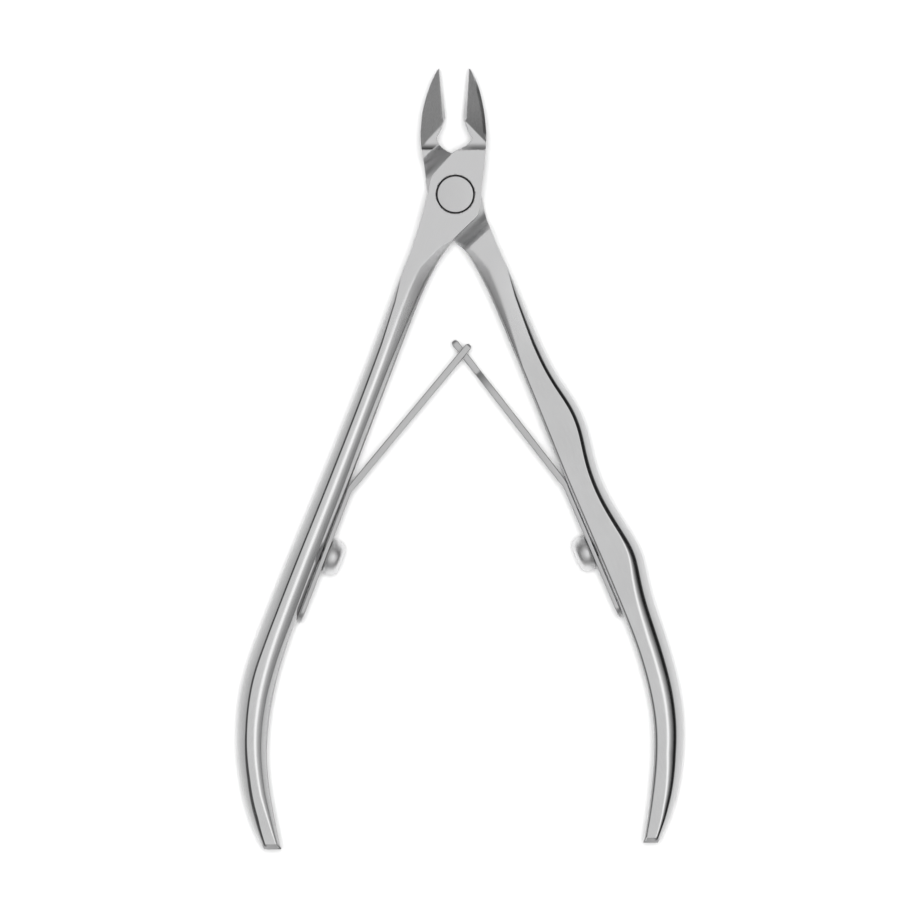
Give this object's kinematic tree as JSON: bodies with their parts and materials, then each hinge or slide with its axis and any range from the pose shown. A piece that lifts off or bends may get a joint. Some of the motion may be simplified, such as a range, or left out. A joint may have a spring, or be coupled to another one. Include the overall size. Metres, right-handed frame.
{
  "type": "cuticle nipper",
  "caption": "Lap-jointed steel cuticle nipper with slim pointed jaws, long curved handles, one of them waved, and crossed leaf springs that hold it open.",
  "frame": {"origin": "on the rivet's axis, at the flat rear face of the joint", "axes": "+Y towards the jaws, along the tool; +X to the right seen from the front; +Z out of the front face"},
  "size_m": [0.0671, 0.1173, 0.0064],
  "materials": {
    "forged_steel": "polished handles, satin joint, fine-ground jaw facets",
    "rivet_steel": "satin",
    "spring_steel": "satin",
    "screw_steel": "polished"
  },
  "bodies": {
    "front": {"front_half": "forged_steel", "left_spring_foot": "spring_steel", "left_spring_screw": "screw_steel"},
    "back": {"back_half": "forged_steel", "pivot_rivet": "rivet_steel", "right_spring_foot": "spring_steel", "right_spring_screw": "screw_steel"},
    "left_arm": {"left_spring_arm": "spring_steel"},
    "right_arm": {"right_spring_arm": "spring_steel"}
  },
  "joints": [
    {"name": "pivot", "type": "hinge", "parent": "front", "child": "back", "pos_m": [0, 0, 0.0032], "axis": [0, 0, -1], "range_deg": [-3, 12.8], "stiffness_Nm_per_rad": 1.6},
    {"name": "left_spring_bend", "type": "hinge", "parent": "front", "child": "left_arm", "pos_m": [-0.01578, -0.04422, 0.0032], "axis": [0, 0, 1], "range_deg": [-2, 6.5]},
    {"name": "right_spring_bend", "type": "hinge", "parent": "back", "child": "right_arm", "pos_m": [0.01636, -0.04345, 0.0032], "axis": [0, 0, -1], "range_deg": [-2.5, 8.5]}
  ],
  "couplings": [
    {"joint": "left_spring_bend", "follows": "pivot", "ratio": 0.46},
    {"joint": "right_spring_bend", "follows": "pivot", "ratio": 0.625}
  ]
}
